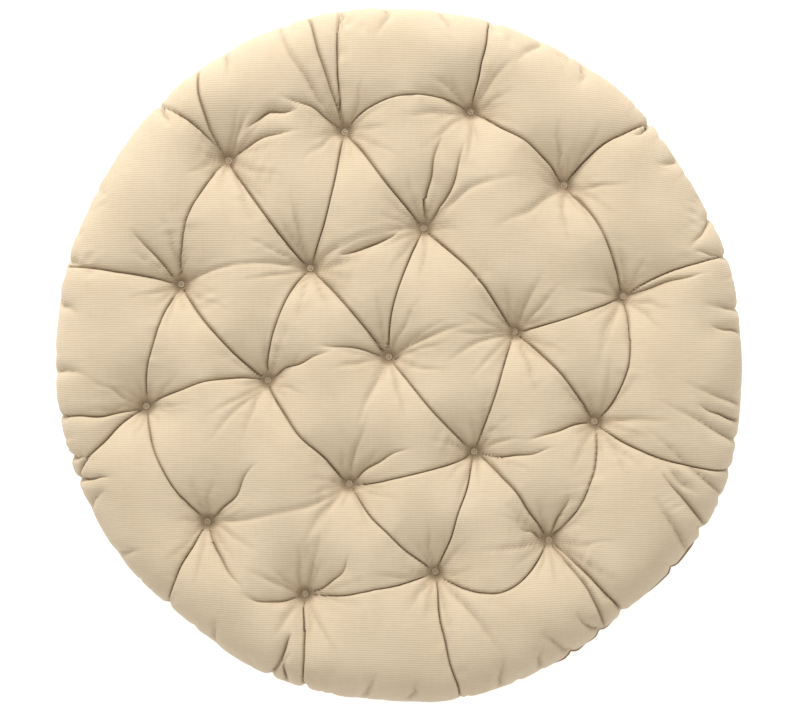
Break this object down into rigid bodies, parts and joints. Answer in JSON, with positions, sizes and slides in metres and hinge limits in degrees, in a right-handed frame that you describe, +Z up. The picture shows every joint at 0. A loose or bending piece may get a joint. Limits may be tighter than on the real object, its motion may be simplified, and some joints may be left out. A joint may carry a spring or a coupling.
{
  "type": "chair seat pad",
  "caption": "Round tufted chair pad: two fabric panels sewn at the rim over layered fibre, drawn in by covered buttons and twine on a triangular grid.",
  "frame": {"origin": "bottom centre of the pad, on the surface it lies on, under the centre of its outline", "axes": "+Z up through the pad; +X along the ribs of the cover fabric; +Y towards the row of tufts named a"},
  "size_m": [1.1179, 1.1189, 0.13],
  "materials": {
    "cover_fabric": "woven, fine rib along +X",
    "button_fabric": "the cover fabric, drawn tight over a mould",
    "fibre_batt": "carded polyester fibre",
    "tuft_twine": "waxed polyester twine",
    "sewing_thread": "spun polyester thread",
    "button_mould": "moulded nylon"
  },
  "bodies": {
    "root": {"bottom_button_a1": "button_fabric", "bottom_button_a2": "button_fabric", "bottom_button_a3": "button_fabric", "bottom_button_b1": "button_fabric", "bottom_button_b2": "button_fabric", "bottom_button_b3": "button_fabric", "bottom_button_b4": "button_fabric", "bottom_button_c1": "button_fabric", "bottom_button_c2": "button_fabric", "bottom_button_c3": "button_fabric", "bottom_button_c4": "button_fabric", "bottom_button_c5": "button_fabric", "bottom_button_d1": "button_fabric", "bottom_button_d2": "button_fabric", "bottom_button_d3": "button_fabric", "bottom_button_d4": "button_fabric", "bottom_button_e1": "button_fabric", "bottom_button_e2": "button_fabric", "bottom_button_e3": "button_fabric", "bottom_button_moulds": "button_mould", "bottom_cover": "cover_fabric", "closing_stitches": "sewing_thread", "core_fibre_batt": "fibre_batt", "lower_fibre_batt": "fibre_batt", "rim_bobbin_thread": "sewing_thread", "rim_needle_thread": "sewing_thread", "top_button_a1": "button_fabric", "top_button_a2": "button_fabric", "top_button_a3": "button_fabric", "top_button_b1": "button_fabric", "top_button_b2": "button_fabric", "top_button_b3": "button_fabric", "top_button_b4": "button_fabric", "top_button_c1": "button_fabric", "top_button_c2": "button_fabric", "top_button_c3": "button_fabric", "top_button_c4": "button_fabric", "top_button_c5": "button_fabric", "top_button_d1": "button_fabric", "top_button_d2": "button_fabric", "top_button_d3": "button_fabric", "top_button_d4": "button_fabric", "top_button_e1": "button_fabric", "top_button_e2": "button_fabric", "top_button_e3": "button_fabric", "top_button_moulds": "button_mould", "top_cover": "cover_fabric", "tuft_twine_row_a": "tuft_twine", "tuft_twine_row_b": "tuft_twine", "tuft_twine_row_c": "tuft_twine", "tuft_twine_row_d": "tuft_twine", "tuft_twine_row_e": "tuft_twine", "upper_fibre_batt": "fibre_batt"}
  },
  "joints": []
}
